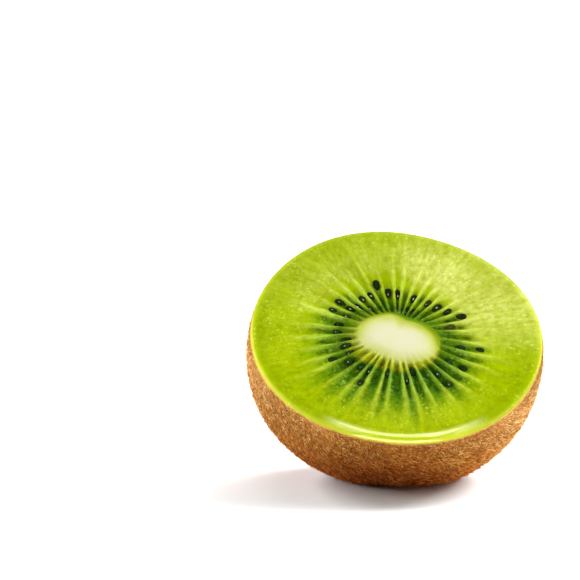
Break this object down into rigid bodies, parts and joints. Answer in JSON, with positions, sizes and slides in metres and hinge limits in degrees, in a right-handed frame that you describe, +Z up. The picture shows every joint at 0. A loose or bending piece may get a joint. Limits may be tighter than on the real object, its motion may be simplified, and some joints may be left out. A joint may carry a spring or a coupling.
{
  "type": "kiwi fruit half",
  "caption": "Half of a green kiwi fruit, cut across near its widest part and standing tilted on its fuzzy brown skin, with pale core, ribs and seeds in the cut face; prepared food.",
  "frame": {"origin": "bottom centre of the bounding box, on the surface that the half stands on", "axes": "+X to the viewer's right along the longest side, -Y to the front that the cut face leans towards, +Z up"},
  "size_m": [0.0498, 0.0426, 0.0402],
  "materials": {
    "flesh": "moist translucent green fruit flesh with paler radial ribs",
    "core": "moist cream white fruit core",
    "seed": "glossy black seed",
    "skin": "matt brown skin with short stiff golden brown hairs"
  },
  "bodies": {
    "root": {"kiwi_half": "flesh"}
  },
  "joints": []
}
